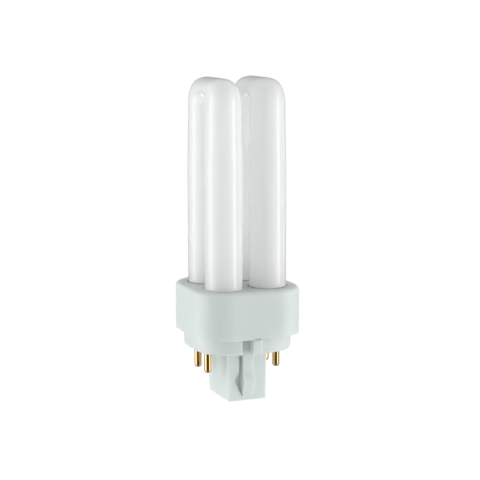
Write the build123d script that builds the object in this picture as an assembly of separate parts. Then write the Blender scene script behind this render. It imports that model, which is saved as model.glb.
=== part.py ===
from build123d import *
import os
from math import cos, radians, sin, sqrt

# A compact fluorescent lamp with two glass U-bends joined by a low bridge,
# held in a moulded collar, with a plug-in cap that carries four contact pins.
# It stands on the end of its plug post. Z is up, the front is -Y, millimetres.

# Glass tubes
tube_diameter = 12.0
tube_pitch = 15.1
tube_above_deck = 66.5
tube_seat_depth = 9.0
crown_tube_diameter = 11.3
crown_top_width = 10.3
crown_shoulder_radius = 6.9
crown_thickness = 7.2
crown_sections = 12
leg_taper_height = 23.0
tube_end_taper = 2.4
tube_end_taper_height = 3.0
bridge_neck_diameter = 4.4
bridge_foot_diameter = 6.4
bridge_above_deck = 7.0
bridge_sink = 1.0

# Pinch seals under the two electrode ends
pinch_width = 7.6
pinch_thickness = 2.6
pinch_drop = 3.2
pinch_root = 2.0
pinch_edge_round = 0.85
wire_spread = 4.4

# Collar
collar_margin = 4.15
collar_corner_radius = 10.1
collar_height = 15.1
collar_top_round = 1.3
deck_thickness = 1.8
socket_wall = 1.1
socket_depth = 8.3
cement_gap = 0.35
cement_bead = 0.15

# Cap
cap_inset = 1.8
cap_corner_radius = 11.2
cap_step_height = 5.2
cap_floor = 2.2
cap_wall = 1.5
cap_rim_height = 4.0
cap_bottom_round = 0.7
cap_clearance = 0.15
stop_rib_thickness = 1.4
stop_rib_reach = 2.6

# Snap bead on the cap's rim and its groove in the collar
snap_bead_height = 0.35
snap_bead_length = 9.0
snap_bead_below_rim = 1.4
snap_clearance = 0.05

# Plug post
post_width = 12.95
post_depth = 17.5
post_length = 16.6
post_draft_angle = 1.0
post_edge_radius = 0.4
post_end_round = 0.35
post_end_wall = 1.8
post_side_wall = 1.5
post_face_wall = 3.5

# Latch tongue and the spearhead pocket beside it, on both broad faces of the post
tongue_width = 3.68
tongue_height = 1.25
tongue_barb_height = 2.6
tongue_barb_top = 9.0
tongue_barb_peak = 7.0
tongue_foot = 1.4
tongue_foot_height = 0.45
tongue_edge_round = 0.35
pocket_slot_width = 1.1
pocket_barb_width = 2.7
pocket_soft_edge = 0.5
pocket_slot_share = 0.15
pocket_top_share = 0.3
pocket_depth = 1.7
pocket_top = 9.0
pocket_peak = 7.1
pocket_tip = 1.4

# Key rib and key notch, on both broad faces of the cap's step
key_rib_width = 2.95
key_rib_offset = 0.08
key_rib_edge_round = 0.5
key_notch_width = 2.85
key_notch_depth = 2.0
key_notch_mouth_round = 1.0
key_notch_wall = 1.2

# Contact pins
pin_diameter = 2.3
pin_inset = 4.0
pin_pitch_y = 8.8
pin_projection = 7.4
pin_tip_round = 0.85
pin_bore_diameter = 1.3
pin_bore_depth = 4.0
pin_boss_diameter = 4.6
pin_boss_height = 2.0
pin_seat_diameter = 2.8
pin_head_diameter = 3.6
pin_head_height = 0.8

# Lead wires
wire_diameter = 0.6
wire_bend_radius = 1.2
wire_in_pinch = 2.0
wire_rise = 1.3
wire_tail_clearance = 0.5

# Widths that follow from the sizes above
collar_width = tube_pitch + tube_diameter + 2 * collar_margin
cap_width = collar_width - 2 * cap_inset
pin_pitch_x = cap_width - 2 * pin_inset

# Heights and places that follow from the sizes above
step_bottom = post_length
step_top = step_bottom + cap_step_height
deck_top = step_top + collar_height
deck_bottom = deck_top - deck_thickness
glass_top = deck_top + tube_above_deck
tube_bottom = deck_top - tube_seat_depth
pinch_bottom = tube_bottom - pinch_drop
floor_top = step_bottom + cap_floor
rim_top = step_top + cap_rim_height
tube_radius = tube_diameter / 2
tube_offset = tube_pitch / 2
crown_radius = crown_tube_diameter / 2
crotch_radius = tube_offset - crown_radius
crotch_centre = glass_top - crown_thickness - crotch_radius
pin_tip = step_bottom - pin_projection
boss_top = floor_top + pin_boss_height
head_top = boss_top + pin_head_height
pin_bore_end = head_top - pin_bore_depth
socket_radius = tube_radius + cement_gap
socket_bottom = deck_top - socket_depth

# How near an edge lies to a face to count as on it
edge_tolerance = 0.01

SIDES = (("left", -1), ("right", 1))
ENDS = (("front", -1), ("back", 1))


def block(x0, x1, y0, y1, z0, z1):
    """A box from its two corners."""
    box = Box(x1 - x0, y1 - y0, z1 - z0, align=(Align.MIN, Align.MIN, Align.MIN))
    return Pos(x0, y0, z0) * box


def rod(x, y, radius, z0, z1):
    """An upright cylinder between two heights."""
    cylinder = Cylinder(radius, z1 - z0, align=(Align.CENTER, Align.CENTER, Align.MIN))
    return Pos(x, y, z0) * cylinder


def slab(width, corner_radius, z0, z1):
    """A square slab with round corners."""
    outline = RectangleRounded(width, width, corner_radius)
    return Pos(0, 0, z0) * extrude(outline, amount=z1 - z0)


def crown_reach(angle, half_length, height):
    """Distance from the crotch's centre to the crown's outer line, at an angle from level."""
    along, up = cos(radians(angle)), sin(radians(angle))
    side_y = half_length - crown_shoulder_radius
    side_z = height - crown_shoulder_radius
    to_side = half_length / along if along > 1e-6 else float("inf")
    to_top = height / up if up > 1e-6 else float("inf")
    if to_side * up <= side_z:
        return to_side
    if to_top * along <= side_y:
        return to_top
    middle = along * side_y + up * side_z
    rest = side_y ** 2 + side_z ** 2 - crown_shoulder_radius ** 2
    return middle + sqrt(middle ** 2 - rest)


def tube_section(plane, half_across, half_deep):
    """An oval section with its seam on the same side in every plane."""
    return plane * scale(Circle(1), by=(half_across, half_deep, 1))


def crown():
    """The squared U-bend: sections fanned round the crotch, pinched where the legs meet."""
    half_length = tube_offset + crown_radius
    height = glass_top - crotch_centre
    sections = []
    for step in range(crown_sections + 1):
        angle = 180 * step / crown_sections
        reach = crown_reach(min(angle, 180 - angle), half_length, height)
        centre = (reach + crotch_radius) / 2
        half_deep = (reach - crotch_radius) / 2
        tilt = radians(angle)
        half_across = crown_radius + (crown_top_width / 2 - crown_radius) * sin(tilt)
        plane = Plane(
            origin=(0, centre * cos(tilt), crotch_centre + centre * sin(tilt)),
            x_dir=(1, 0, 0),
            z_dir=(0, -sin(tilt), cos(tilt)),
        )
        sections.append(tube_section(plane, half_across, half_deep))
    return loft(sections)


def leg(x, y):
    """One leg: tapered at its lower end, and a little slimmer where the crown begins."""
    end_radius = tube_radius - tube_end_taper
    taper_top = tube_bottom + tube_end_taper_height
    waist = crotch_centre - leg_taper_height
    profile = make_face(
        [
            Line((0, crotch_centre), (0, tube_bottom)),
            Line((0, tube_bottom), (end_radius, tube_bottom)),
            Line((end_radius, tube_bottom), (tube_radius, taper_top)),
            Line((tube_radius, taper_top), (tube_radius, waist)),
            Spline((tube_radius, waist), (crown_radius, crotch_centre), tangents=[(0, 1), (0, 1)]),
            Line((crown_radius, crotch_centre), (0, crotch_centre)),
        ]
    )
    return Pos(x, y, 0) * revolve(Plane.XZ * profile, axis=Axis.Z)


def bridge():
    """The short necked tube that joins the two U-bends behind, just above the deck."""
    half_span = tube_offset - tube_radius + bridge_sink
    z = deck_top + bridge_above_deck
    neck = bridge_neck_diameter / 2
    foot = bridge_foot_diameter / 2
    profile = make_face(
        [
            Line((-half_span, 0), (-half_span, foot)),
            ThreePointArc((-half_span, foot), (0, neck), (half_span, foot)),
            Line((half_span, foot), (half_span, 0)),
            Line((half_span, 0), (-half_span, 0)),
        ]
    )
    return Pos(0, tube_offset, z) * revolve(profile, axis=Axis.X)


def pinch(x):
    """The flat press seal under a front leg, with the holes that its two wires fill."""
    y = -tube_offset
    half_x, half_y = pinch_thickness / 2, pinch_width / 2
    seal = block(x - half_x, x + half_x, y - half_y, y + half_y, pinch_bottom, tube_bottom + pinch_root)
    seal = fillet(seal.edges().filter_by(Axis.Z), pinch_edge_round)
    for side in (-1, 1):
        hole_y = y + side * wire_spread / 2
        seal = seal - rod(x, hole_y, wire_diameter / 2, pinch_bottom, pinch_bottom + wire_in_pinch)
    return seal


def tube_places():
    """Centre and name of each leg, as seen from the front."""
    for end, y in ENDS:
        for side, x in SIDES:
            yield end + "_" + side, x * tube_offset, y * tube_offset


def discharge_tube():
    """The sealed glass: four legs with their bridge and two pinch seals, under two crowns."""
    glass = bridge()
    for name, x, y in tube_places():
        glass = glass + leg(x, y)
    for side in (-1, 1):
        glass = glass + pinch(side * tube_offset)
    for side in (-1, 1):
        glass = glass + Pos(side * tube_offset, 0, 0) * crown()
    return glass


def pin_places():
    """Centre and name of each contact pin."""
    for end, y in ENDS:
        for side, x in SIDES:
            yield end + "_" + side, x * pin_pitch_x / 2, y * pin_pitch_y / 2


def snap_bead(grow):
    """A half-round bead on the front and back flats of the cap's rim."""
    radius = snap_bead_height + grow
    z = rim_top - snap_bead_below_rim
    y = cap_width / 2
    length = snap_bead_length + 2 * grow
    bead = Rot(0, 90, 0) * Cylinder(radius, length)
    return Pos(0, -y, z) * bead + Pos(0, y, z) * bead


def tube_collar():
    """The upper shell: deck with four sockets, skirt, stop ribs and the snap grooves."""
    shell = slab(collar_width, collar_corner_radius, step_top, deck_top)
    shell = fillet(shell.faces().sort_by(Axis.Z)[-1].edges(), collar_top_round)
    cavity_width = cap_width + 2 * cap_clearance
    shell = shell - slab(cavity_width, cap_corner_radius + cap_clearance, step_top, deck_bottom)
    for name, x, y in tube_places():
        shell = shell + rod(x, y, socket_radius + socket_wall, socket_bottom, deck_bottom)
    half = cavity_width / 2
    side = stop_rib_thickness / 2
    rib = block(-side, side, -half, stop_rib_reach - half, rim_top, deck_bottom)
    for turn in range(4):
        shell = shell + Rot(0, 0, 90 * turn) * rib
    for name, x, y in tube_places():
        shell = shell - rod(x, y, socket_radius, step_top, deck_top)
    return shell - snap_bead(snap_clearance)


def cement_ring(x, y):
    """The ring of cement between a leg and its socket, with a small bead above the deck."""
    ring = rod(x, y, socket_radius, socket_bottom, deck_top + cement_bead)
    return ring - rod(x, y, tube_radius, socket_bottom, deck_top + cement_bead)


def tongue():
    """The latch tongue: level, out to the barb, and back to a low foot."""
    face = -post_depth / 2
    root = face + tongue_height
    outline = Polyline(
        (root, step_bottom),
        (face - tongue_height, step_bottom),
        (face - tongue_height, tongue_barb_top),
        (face - tongue_barb_height, tongue_barb_peak),
        (face - tongue_foot_height, tongue_foot),
        (root, tongue_foot),
        close=True,
    )
    side = Plane.YZ * make_face(outline)
    shape = extrude(side, amount=tongue_width / 2, both=True)
    rounded = []
    for edge in shape.edges():
        middle = edge.center()
        on_side = abs(middle.X) > tongue_width / 2 - edge_tolerance
        on_front = middle.Y < face - edge_tolerance and tongue_foot < middle.Z < step_bottom
        if on_side and on_front and edge.length > tongue_barb_height / 2:
            rounded.append(edge)
    return fillet(rounded, tongue_edge_round)


def pocket():
    """The spearhead pocket left of the tongue: its barb is softest, its slot nearly sharp."""
    right = -tongue_width / 2
    face = -post_depth / 2 - tongue_height

    def outline(widen, y):
        slot = right - pocket_slot_width - widen * pocket_slot_share
        barb = right - pocket_barb_width - widen
        points = (
            (right, step_bottom),
            (slot, step_bottom),
            (slot, pocket_top + widen * pocket_top_share),
            (barb, pocket_peak),
            (right, pocket_tip),
        )
        plane = Plane(origin=(0, y, 0), x_dir=(1, 0, 0), z_dir=(0, -1, 0))
        return plane * make_face(Polyline(*points, close=True))

    floor_y = -post_depth / 2 + pocket_depth
    soft = pocket_soft_edge / pocket_depth
    wide = outline(soft * tongue_height, face)
    narrow = outline(-pocket_soft_edge, floor_y)
    return loft([wide, narrow], ruled=True)


def key_rib():
    """The key rib, flush with the collar's face."""
    centre = key_rib_offset
    half = key_rib_width / 2
    front = -collar_width / 2
    rib = block(centre - half, centre + half, front, -cap_width / 2 + cap_wall / 2, step_bottom, step_top)
    edges = rib.edges().filter_by(Axis.Z).group_by(Axis.Y)[0]
    return fillet(edges, key_rib_edge_round)


def key_notch(margin):
    """The key notch beside the rib, or with a margin the block that walls it in."""
    right = key_rib_offset - key_rib_width / 2
    left = right - key_notch_width
    wall = -cap_width / 2
    inner = wall + key_notch_depth + margin
    if margin:
        outer = wall + cap_wall / 2
        return block(left - margin, right + margin, outer, inner, step_bottom, step_top + margin)
    cut = block(left, right, -collar_width, inner, step_bottom, step_top)
    r = key_notch_mouth_round
    flare = block(left - r, left, wall - r, wall + r, step_bottom, step_top)
    return cut + (flare - rod(left - r, wall + r, r, step_bottom, step_top))


def plug_post():
    """The hollow post, slimmer towards its end."""
    flare = 2 * post_length * sin(radians(post_draft_angle)) / cos(radians(post_draft_angle))
    end = RectangleRounded(post_width, post_depth, post_edge_radius)
    root = RectangleRounded(post_width + flare, post_depth + flare, post_edge_radius)
    return loft([end, Pos(0, 0, post_length) * root])


def pin_cap():
    """The lower shell: stepped cap, plug post with latch tongues, keys and pin bosses."""
    cup = slab(cap_width, cap_corner_radius, step_bottom, rim_top)
    cup = fillet(cup.faces().sort_by(Axis.Z)[0].edges(), cap_bottom_round)
    inner_width = cap_width - 2 * cap_wall
    cup = cup - slab(inner_width, cap_corner_radius - cap_wall, floor_top, rim_top)
    post = plug_post()
    post = fillet(post.faces().sort_by(Axis.Z)[0].edges(), post_end_round)
    shell = cup + post
    for broad_face in (0, 180):
        turn = Rot(0, 0, broad_face)
        shell = shell + turn * key_notch(key_notch_wall) + turn * key_rib()
        shell = shell - turn * key_notch(0)
        shell = shell - turn * pocket()
        shell = shell + turn * tongue()
    for name, x, y in pin_places():
        shell = shell + rod(x, y, pin_boss_diameter / 2, step_bottom + cap_floor / 2, boss_top)
        shell = shell - rod(x, y, pin_seat_diameter / 2, step_bottom, boss_top)
    half_x = post_width / 2 - post_side_wall
    half_y = post_depth / 2 - post_face_wall
    shell = shell - block(-half_x, half_x, -half_y, half_y, post_end_wall, floor_top)
    return shell + snap_bead(0)


def contact_pin(x, y):
    """A brass pin: round tip, thicker seat in the cap, head on the boss, bored for its wire."""
    pin = rod(x, y, pin_diameter / 2, pin_tip, step_bottom)
    pin = fillet(pin.edges().sort_by(Axis.Z)[0], pin_tip_round)
    pin = pin + rod(x, y, pin_seat_diameter / 2, step_bottom, boss_top)
    pin = pin + rod(x, y, pin_head_diameter / 2, boss_top, head_top)
    return pin - rod(x, y, pin_bore_diameter / 2, pin_bore_end, head_top)


def lead_wire(x, y):
    """One wire from a pin's bore to its place in the pinch seal on the same side."""
    side = 1 if x > 0 else -1
    order = 1 if y > 0 else -1
    end_x = side * tube_offset
    end_y = -tube_offset + order * wire_spread / 2
    start_z = pin_bore_end + wire_tail_clearance
    route = FilletPolyline(
        (x, y, start_z),
        (x, y, head_top + wire_rise),
        (end_x, end_y, pinch_bottom - wire_rise),
        (end_x, end_y, pinch_bottom + wire_in_pinch),
        radius=wire_bend_radius,
    )
    section = Plane(origin=(x, y, start_z), z_dir=(0, 0, 1)) * Circle(wire_diameter / 2)
    return sweep(section, path=route)


def main():
    """Builds every piece and writes one file for each."""
    os.makedirs("parts", exist_ok=True)
    pieces = {
        "discharge_tube": discharge_tube(),
        "tube_collar": tube_collar(),
        "pin_cap": pin_cap(),
    }
    for name, x, y in tube_places():
        pieces["cement_ring_" + name] = cement_ring(x, y)
    for name, x, y in pin_places():
        pieces["contact_pin_" + name] = contact_pin(x, y)
        pieces["lead_wire_" + name] = lead_wire(x, y)
    for name, piece in pieces.items():
        export_step(piece, "parts/" + name + ".step")
        print(name, round(piece.volume, 2), len(piece.solids()))


main()
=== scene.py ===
from math import cos, pi, radians, sin, tau

import bpy
from mathutils import Matrix, Vector


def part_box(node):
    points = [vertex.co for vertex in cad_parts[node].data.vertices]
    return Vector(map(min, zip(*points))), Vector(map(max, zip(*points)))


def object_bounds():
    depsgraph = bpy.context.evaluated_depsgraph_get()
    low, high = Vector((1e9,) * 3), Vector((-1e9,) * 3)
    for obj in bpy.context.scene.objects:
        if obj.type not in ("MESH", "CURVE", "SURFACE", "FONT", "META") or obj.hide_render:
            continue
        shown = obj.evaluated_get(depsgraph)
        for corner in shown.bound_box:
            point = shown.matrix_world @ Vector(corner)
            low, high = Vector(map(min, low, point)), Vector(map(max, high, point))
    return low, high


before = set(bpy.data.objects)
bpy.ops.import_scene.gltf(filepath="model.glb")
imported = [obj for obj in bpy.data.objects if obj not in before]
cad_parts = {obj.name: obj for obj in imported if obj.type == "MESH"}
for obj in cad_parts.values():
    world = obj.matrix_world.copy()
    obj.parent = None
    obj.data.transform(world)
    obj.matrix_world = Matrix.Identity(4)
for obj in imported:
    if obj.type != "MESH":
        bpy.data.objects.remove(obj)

# A compact fluorescent lamp that stands on its plug post, in a white studio.
# The frame's units are metres, Z is up and the front of the lamp is -Y. Angles are in degrees.
MM = 0.001
cad_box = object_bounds()

# The collar's top, which the tubes and their cement stand out of
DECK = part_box("tube_collar")[1].z

# The camera: to the left of the lamp's front, a little above it
CAMERA_AZIMUTH = -22.2176
CAMERA_DISTANCE = 480 * MM
CAMERA_HEIGHT = 128.81 * MM
CAMERA_PITCH = 9.21
CAMERA_YAW = -0.1278
CAMERA_ROLL = -0.1281
CAMERA_LENS = 113.02
SENSOR_WIDTH = 36.0

# The side lights. Angles round the lamp start at the camera, and minus is the left of the view.
LIGHT_DISTANCE = 1.0
LIGHT_HEIGHT = 0.7
RIGHT_LIGHT_ANGLE = 71
RIGHT_LIGHT_WIDTH = 0.34
RIGHT_LIGHT_RADIANCE = 2.8
LEFT_LIGHT_ANGLE = -80
LEFT_LIGHT_WIDTH = 0.5
LEFT_LIGHT_RADIANCE = 1.9

# The world: the fill that lights the lamp and the studio that its gloss reflects, as (angle,
# level) round it. Both dim between two elevations to a share that is left at the ceiling.
# The gloss also sees a white backdrop, a cone behind the lamp.
FILL_SIDES = [
    (-180, 0.6), (-130, 0.6), (-112, 1.0), (-72, 1.0), (-60, 0.6), (-30, 0.22),
    (30, 0.22), (50, 0.6), (62, 1.0), (95, 1.0), (120, 0.6), (180, 0.6),
]
FILL_LEVEL = 2.3
FILL_CEILING_SHARE = 0.3
REFLECTED_SIDES = [
    (-180, 0.05), (-120, 0.05), (-106, 0.5), (-94, 1.4), (-60, 1.4), (-42, 1.1), (-30, 0.05),
    (34, 0.05), (44, 1.1), (82, 1.1), (94, 0.05), (180, 0.05),
]
REFLECTED_LEVEL = 1.0
REFLECTED_CEILING_SHARE = 0.3
CEILING_START = 10
CEILING_END = 50
BACKDROP_HALF_ANGLE = 10

# The floor: cloth that takes the shadow, with a share of glow that brings it up to white
FLOOR_RADIUS = 30.0
FLOOR_STEPS = 96
FLOOR_COLOUR = 0.88
FLOOR_GLOW = 1.12
FLOOR_GLOW_SHARE = 0.8

# The glass: milky and glossy, and paler at its foot, just above the deck, by painted light
GLASS_TRANSLUCENCY = 0.4
GLASS_THROUGH_COLOUR = (0.935, 0.95, 0.945)
GLASS_TONES = [(0.89, 0.90, 0.895), (0.91, 0.92, 0.915)]
GLASS_FOOT_PAINTED_LIGHT_TONES = [(0.955, 0.955, 0.95), (0.97, 0.97, 0.965)]
GLASS_PAINTED_LIGHT_TOP = DECK + 25.1 * MM
GLASS_PAINTED_LIGHT_FULL_FROM = DECK + 1.1 * MM
GLASS_ROUGHNESS = 0.12
GLASS_SPECULAR_LEVEL = 0.25
GLASS_COAT_ROUGHNESS = 0.02
GLASS_IOR = 1.5

# The moulded plastic, with how far light spreads inside it
PLASTIC_TRANSLUCENCY = 0.2
PLASTIC_THROUGH_COLOUR = (0.92, 0.95, 0.94)
PLASTIC_COLOUR = (0.78, 0.84, 0.822)
PLASTIC_DARKER = 0.975
PLASTIC_LIGHTER = 1.02
PLASTIC_ROUGHNESS = (0.42, 0.52)
PLASTIC_SPREAD = 1.2 * MM

# The cement: olive, partly its own colour and partly painted shade of the gap round each tube,
# turning to cream between two distances from the lamp's axis towards the front left foot, and
# white below the deck
CEMENT_OLIVE_AND_SHADE = [(0.26, 0.25, 0.15), (0.50, 0.49, 0.38)]
CEMENT_CREAM = [(0.62, 0.61, 0.53), (0.74, 0.73, 0.66)]
CEMENT_WHITE = [(0.90, 0.90, 0.87), (0.95, 0.95, 0.93)]
CEMENT_CREAM_SIDE = -30
CEMENT_OLIVE_FROM = 7.5 * MM
CEMENT_CREAM_FROM = 9.8 * MM
CEMENT_LINE_FROM = DECK - 0.2 * MM
CEMENT_SUNK_FROM = DECK - 0.6 * MM
CEMENT_ROUGHNESS = 0.85

# The metals
BRASS_TONES = [(0.68, 0.43, 0.17), (0.78, 0.52, 0.24)]
BRASS_ROUGHNESS = (0.06, 0.12)
WIRE_TONES = [(0.40, 0.39, 0.38), (0.52, 0.51, 0.50)]
WIRE_ROUGHNESS = (0.30, 0.45)

# The values of noise at which it gives the first and the second of two tones, or roughnesses;
# grit reaches its second tone sooner
NOISE_LOW = 0.3
NOISE_HIGH = 0.7
GRIT_HIGH = 0.6


def direction(azimuth, elevation=0.0):
    """The way from the lamp to a place round it: azimuth 0 is the front, 90 is the right."""
    a, e = radians(azimuth), radians(elevation)
    return Vector((sin(a) * cos(e), -cos(a) * cos(e), sin(e)))


def make_camera():
    """The photograph's view."""
    a, t, r = radians(CAMERA_AZIMUTH), radians(CAMERA_PITCH), radians(CAMERA_ROLL)
    b = a + radians(CAMERA_YAW)
    forward = Vector((-sin(b) * cos(t), cos(b) * cos(t), -sin(t)))
    level = Vector((cos(b), sin(b), 0))
    upright = level.cross(forward)
    right = level * cos(r) + upright * sin(r)
    up = upright * cos(r) - level * sin(r)
    data = bpy.data.cameras.new("camera")
    data.sensor_width = SENSOR_WIDTH
    data.lens = CAMERA_LENS
    camera = bpy.data.objects.new("camera", data)
    place = Matrix((right, up, -forward)).transposed().to_4x4()
    place.translation = (
        direction(CAMERA_AZIMUTH) * CAMERA_DISTANCE + Vector((0, 0, CAMERA_HEIGHT))
    )
    camera.matrix_world = place
    bpy.context.scene.collection.objects.link(camera)
    bpy.context.scene.camera = camera


def make_light(name, angle, width, radiance):
    """A tall soft light that faces the lamp's middle, with a given radiance."""
    data = bpy.data.lights.new(name, "AREA")
    data.shape = "RECTANGLE"
    data.size = width
    data.size_y = LIGHT_HEIGHT
    data.energy = radiance * width * LIGHT_HEIGHT * pi
    light = bpy.data.objects.new(name, data)
    middle = (cad_box[0] + cad_box[1]) / 2
    away = direction(CAMERA_AZIMUTH + angle)
    light.location = middle + away * LIGHT_DISTANCE
    light.rotation_mode = "QUATERNION"
    light.rotation_quaternion = away.to_track_quat("Z", "Y")
    bpy.context.scene.collection.objects.link(light)


def nodes_of(tree):
    """A cleared node tree, with functions that add and link nodes."""
    tree.nodes.clear()

    def add(kind, **values):
        node = tree.nodes.new(kind)
        for name, value in values.items():
            if name in node.inputs:
                node.inputs[name].default_value = value
            else:
                setattr(node, name, value)
        return node

    return add, tree.links.new


def combine(add, link, operation, first, second):
    """Two numbers brought together by a Math node."""
    node = add("ShaderNodeMath", operation=operation)
    link(first, node.inputs[0])
    link(second, node.inputs[1])
    return node.outputs["Value"]


def ramp(add, link, source, stops):
    """A colour ramp with its stops given as (place, colour)."""
    node = add("ShaderNodeValToRGB")
    elements = node.color_ramp.elements
    while len(elements) < len(stops):
        elements.new(0.5)
    for element, (place, colour) in zip(elements, stops):
        element.position = place
        element.color = (*colour, 1)
    link(source, node.inputs["Fac"])
    return node.outputs["Color"]


def make_world():
    """White to the camera, a fill that lights the lamp, and a studio that its gloss reflects."""
    world = bpy.data.worlds.new("studio")
    world.use_nodes = True
    bpy.context.scene.world = world
    add, link = nodes_of(world.node_tree)
    place = add("ShaderNodeTexCoord")

    def toward(axis):
        node = add("ShaderNodeVectorMath", operation="DOT_PRODUCT")
        node.inputs[1].default_value = axis
        link(place.outputs["Generated"], node.inputs[0])
        return node.outputs["Value"]

    right = toward(direction(CAMERA_AZIMUTH + 90))
    near = toward(direction(CAMERA_AZIMUTH))
    turn = add("ShaderNodeMapRange")
    turn.inputs["From Min"].default_value = -pi
    turn.inputs["From Max"].default_value = pi
    link(combine(add, link, "ARCTAN2", right, near), turn.inputs["Value"])

    def sides(stops, level, ceiling_share):
        places = [(angle / 360 + 0.5, (value, value, value)) for angle, value in stops]
        pattern = ramp(add, link, turn.outputs["Result"], places)
        ceiling = add("ShaderNodeMapRange", interpolation_type="SMOOTHSTEP")
        ceiling.inputs["From Min"].default_value = sin(radians(CEILING_START))
        ceiling.inputs["From Max"].default_value = sin(radians(CEILING_END))
        ceiling.inputs["To Min"].default_value = level
        ceiling.inputs["To Max"].default_value = level * ceiling_share
        link(toward((0, 0, 1)), ceiling.inputs["Value"])
        return combine(add, link, "MULTIPLY", pattern, ceiling.outputs["Result"])

    fill = sides(FILL_SIDES, FILL_LEVEL, FILL_CEILING_SHARE)
    studio = sides(REFLECTED_SIDES, REFLECTED_LEVEL, REFLECTED_CEILING_SHARE)
    backdrop = add("ShaderNodeMath", operation="GREATER_THAN")
    backdrop.inputs[1].default_value = cos(radians(BACKDROP_HALF_ANGLE))
    link(toward(-direction(CAMERA_AZIMUTH, CAMERA_PITCH)), backdrop.inputs[0])
    reflected = combine(add, link, "MAXIMUM", studio, backdrop.outputs["Value"])
    path = add("ShaderNodeLightPath")
    lit = add("ShaderNodeMix", data_type="FLOAT")
    link(path.outputs["Is Glossy Ray"], lit.inputs["Factor"])
    link(fill, lit.inputs["A"])
    link(reflected, lit.inputs["B"])
    camera, through = path.outputs["Is Camera Ray"], path.outputs["Is Transmission Ray"]
    clear = combine(add, link, "MAXIMUM", camera, through)
    background = add("ShaderNodeBackground", Color=(1, 1, 1, 1))
    strength = combine(add, link, "MAXIMUM", lit.outputs["Result"], clear)
    link(strength, background.inputs["Strength"])
    output = add("ShaderNodeOutputWorld")
    link(background.outputs["Background"], output.inputs["Surface"])


def make_floor():
    """A white floor that keeps the lamp's faint shadow."""
    turns = [tau * i / FLOOR_STEPS for i in range(FLOOR_STEPS)]
    rim = [(FLOOR_RADIUS * cos(turn), FLOOR_RADIUS * sin(turn), 0) for turn in turns]
    mesh = bpy.data.meshes.new("floor")
    mesh.from_pydata(rim, [], [tuple(range(FLOOR_STEPS))])
    floor = bpy.data.objects.new("floor", mesh)
    bpy.context.scene.collection.objects.link(floor)
    material = bpy.data.materials.new("white_floor")
    material.use_nodes = True
    add, link = nodes_of(material.node_tree)
    cloth = add("ShaderNodeBsdfDiffuse", Color=(FLOOR_COLOUR, FLOOR_COLOUR, FLOOR_COLOUR, 1))
    glow = add("ShaderNodeEmission", Strength=FLOOR_GLOW)
    path = add("ShaderNodeLightPath").outputs
    seen = combine(add, link, "MAXIMUM", path["Is Camera Ray"], path["Is Glossy Ray"])
    seen = combine(add, link, "MAXIMUM", seen, path["Is Transmission Ray"])
    share = add("ShaderNodeMath", operation="MULTIPLY")
    share.inputs[1].default_value = FLOOR_GLOW_SHARE
    link(seen, share.inputs[0])
    mix = add("ShaderNodeMixShader")
    link(share.outputs["Value"], mix.inputs["Fac"])
    link(cloth.outputs["BSDF"], mix.inputs[1])
    link(glow.outputs["Emission"], mix.inputs[2])
    output = add("ShaderNodeOutputMaterial")
    link(mix.outputs["Shader"], output.inputs["Surface"])
    mesh.materials.append(material)
    # The side lights, and the studio in the gloss, reach below it
    floor.visible_glossy = False
    floor.visible_shadow = False


def surface(name, translucency=0.0, through_colour=(1, 1, 1)):
    """A new material with a Principled shader: the material, its add and link, and the shader."""
    material = bpy.data.materials.new(name)
    material.use_nodes = True
    add, link = nodes_of(material.node_tree)
    shader = add("ShaderNodeBsdfPrincipled")
    output = add("ShaderNodeOutputMaterial")
    whole = shader.outputs["BSDF"]
    if translucency:
        through = add("ShaderNodeBsdfTranslucent", Color=(*through_colour, 1))
        mix = add("ShaderNodeMixShader", Fac=translucency)
        link(whole, mix.inputs[1])
        link(through.outputs["BSDF"], mix.inputs[2])
        whole = mix.outputs["Shader"]
    link(whole, output.inputs["Surface"])
    return material, add, link, shader


def noise(add, link, scale, stretch=(1, 1, 1), detail=4.0):
    """Noise in the object's own coordinates, with so many cells to a metre."""
    place = add("ShaderNodeTexCoord")
    mapping = add("ShaderNodeMapping")
    mapping.inputs["Scale"].default_value = stretch
    link(place.outputs["Object"], mapping.inputs["Vector"])
    texture = add("ShaderNodeTexNoise", Scale=scale, Detail=detail)
    link(mapping.outputs["Vector"], texture.inputs["Vector"])
    return texture.outputs["Fac"]


def tones(add, link, source, pair, high=NOISE_HIGH):
    """Two tones of a colour, by noise."""
    return ramp(add, link, source, [(NOISE_LOW, pair[0]), (high, pair[1])])


def bump(add, link, source, shader, strength, distance):
    """A fine relief on the shader."""
    node = add("ShaderNodeBump", Strength=strength, Distance=distance)
    link(source, node.inputs["Height"])
    link(node.outputs["Normal"], shader.inputs["Normal"])


def roughen(add, link, source, shader, limits):
    """Roughness between two limits, by noise."""
    node = add("ShaderNodeMapRange")
    node.inputs["From Min"].default_value = NOISE_LOW
    node.inputs["From Max"].default_value = NOISE_HIGH
    node.inputs["To Min"].default_value = limits[0]
    node.inputs["To Max"].default_value = limits[1]
    link(source, node.inputs["Value"])
    link(node.outputs["Result"], shader.inputs["Roughness"])


def along(add, link, axis, start, end):
    """From 0 to 1 between two places along a direction, in the object's own coordinates."""
    place = add("ShaderNodeTexCoord")
    node = add("ShaderNodeVectorMath", operation="DOT_PRODUCT")
    node.inputs[1].default_value = axis
    link(place.outputs["Object"], node.inputs[0])
    share = add("ShaderNodeMapRange", interpolation_type="SMOOTHSTEP")
    share.inputs["From Min"].default_value = start
    share.inputs["From Max"].default_value = end
    link(node.outputs["Value"], share.inputs["Value"])
    return share.outputs["Result"]


def blend(add, link, share, first, second):
    """Two colours mixed by a share of the second."""
    node = add("ShaderNodeMix", data_type="RGBA")
    # By number: by name the node gives the sockets for floats
    factor, colour_a, colour_b = (node.inputs[i] for i in (0, 6, 7))
    link(share, factor)
    link(first, colour_a)
    link(second, colour_b)
    return node.outputs[2]


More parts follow.
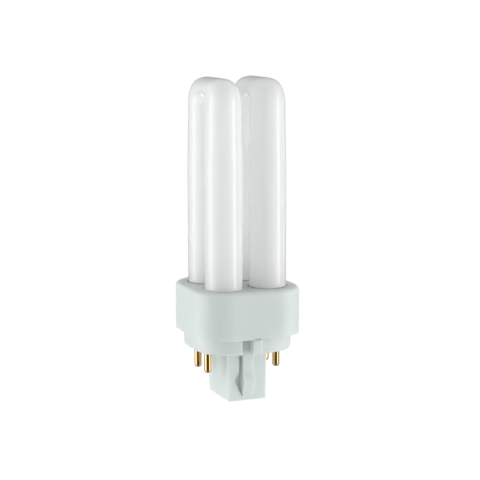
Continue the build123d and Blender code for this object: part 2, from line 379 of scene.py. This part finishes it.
def coated_glass():
    """Clear glass over a milky coat: glossy, translucent, and paler at its foot by painted light.
    """
    material, add, link, shader = surface(
        "coated_glass", GLASS_TRANSLUCENCY, GLASS_THROUGH_COLOUR
    )
    cloud = noise(add, link, scale=45, stretch=(1, 1, 0.3), detail=2.0)
    upper = tones(add, link, cloud, GLASS_TONES)
    # Painted light: a paler tone at the foot, just above the deck, lifts the shade there
    painted_light_foot = tones(add, link, cloud, GLASS_FOOT_PAINTED_LIGHT_TONES)
    painted_light_share = along(add, link, (0, 0, 1), GLASS_PAINTED_LIGHT_TOP, GLASS_PAINTED_LIGHT_FULL_FROM)
    link(blend(add, link, painted_light_share, upper, painted_light_foot), shader.inputs["Base Color"])
    shader.inputs["Roughness"].default_value = GLASS_ROUGHNESS
    shader.inputs["Specular IOR Level"].default_value = GLASS_SPECULAR_LEVEL
    shader.inputs["Coat Weight"].default_value = 1.0
    shader.inputs["Coat Roughness"].default_value = GLASS_COAT_ROUGHNESS
    shader.inputs["Coat IOR"].default_value = GLASS_IOR
    wave = noise(add, link, scale=90, stretch=(1, 1, 0.25), detail=1.0)
    bump(add, link, wave, shader, strength=0.04, distance=0.1 * MM)
    return material


def plastic(name):
    """White moulded plastic with a satin, faintly uneven face."""
    material, add, link, shader = surface(name, PLASTIC_TRANSLUCENCY, PLASTIC_THROUGH_COLOUR)
    cloud = noise(add, link, scale=60)
    dark = tuple(c * PLASTIC_DARKER for c in PLASTIC_COLOUR)
    light = tuple(c * PLASTIC_LIGHTER for c in PLASTIC_COLOUR)
    link(tones(add, link, cloud, [dark, light]), shader.inputs["Base Color"])
    grain = noise(add, link, scale=2500)
    roughen(add, link, grain, shader, PLASTIC_ROUGHNESS)
    bump(add, link, grain, shader, strength=0.08, distance=0.03 * MM)
    shader.inputs["Subsurface Weight"].default_value = 1.0
    shader.inputs["Subsurface Radius"].default_value = (1.0, 1.0, 1.0)
    shader.inputs["Subsurface Scale"].default_value = PLASTIC_SPREAD
    return material


def cement():
    """Cement, coarse and matte, its olive partly painted shade of the gap round each tube."""
    material, add, link, shader = surface("cement")
    grit = noise(add, link, scale=3000)
    # Painted shade: the olive is partly the shade of the gap round each tube
    olive_and_shade = tones(add, link, grit, CEMENT_OLIVE_AND_SHADE, GRIT_HIGH)
    cream = tones(add, link, grit, CEMENT_CREAM, GRIT_HIGH)
    white = tones(add, link, grit, CEMENT_WHITE, GRIT_HIGH)
    front = along(add, link, direction(CEMENT_CREAM_SIDE), CEMENT_OLIVE_FROM, CEMENT_CREAM_FROM)
    sunk = along(add, link, (0, 0, 1), CEMENT_LINE_FROM, CEMENT_SUNK_FROM)
    line = blend(add, link, front, olive_and_shade, cream)
    link(blend(add, link, sunk, line, white), shader.inputs["Base Color"])
    shader.inputs["Roughness"].default_value = CEMENT_ROUGHNESS
    bump(add, link, grit, shader, strength=0.6, distance=0.08 * MM)
    return material


def brass():
    """Bright drawn brass, with fine lines along the pin."""
    material, add, link, shader = surface("pin_brass")
    shader.inputs["Metallic"].default_value = 1.0
    lines = noise(add, link, scale=6000, stretch=(1, 1, 0.02), detail=2.0)
    link(tones(add, link, lines, BRASS_TONES), shader.inputs["Base Color"])
    roughen(add, link, lines, shader, BRASS_ROUGHNESS)
    bump(add, link, lines, shader, strength=0.05, distance=0.01 * MM)
    return material


def wire_metal():
    """Dull drawn wire."""
    material, add, link, shader = surface("wire_metal")
    shader.inputs["Metallic"].default_value = 1.0
    lines = noise(add, link, scale=5000, stretch=(1, 1, 0.05), detail=2.0)
    link(tones(add, link, lines, WIRE_TONES), shader.inputs["Base Color"])
    roughen(add, link, lines, shader, WIRE_ROUGHNESS)
    return material


def dress(start, material):
    """Gives the nodes whose names start so their material and slot."""
    for name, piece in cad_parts.items():
        if name.startswith(start):
            piece.data.materials.clear()
            piece.data.materials.append(material)


make_camera()
make_light("right_strip", RIGHT_LIGHT_ANGLE, RIGHT_LIGHT_WIDTH, RIGHT_LIGHT_RADIANCE)
make_light("left_softbox", LEFT_LIGHT_ANGLE, LEFT_LIGHT_WIDTH, LEFT_LIGHT_RADIANCE)
make_world()
make_floor()

dress("discharge_tube", coated_glass())
dress("tube_collar", plastic("collar_plastic"))
dress("pin_cap", plastic("cap_plastic"))
dress("cement_ring", cement())
dress("contact_pin", brass())
dress("lead_wire", wire_metal())

bpy.context.scene.view_settings.view_transform = "Standard"
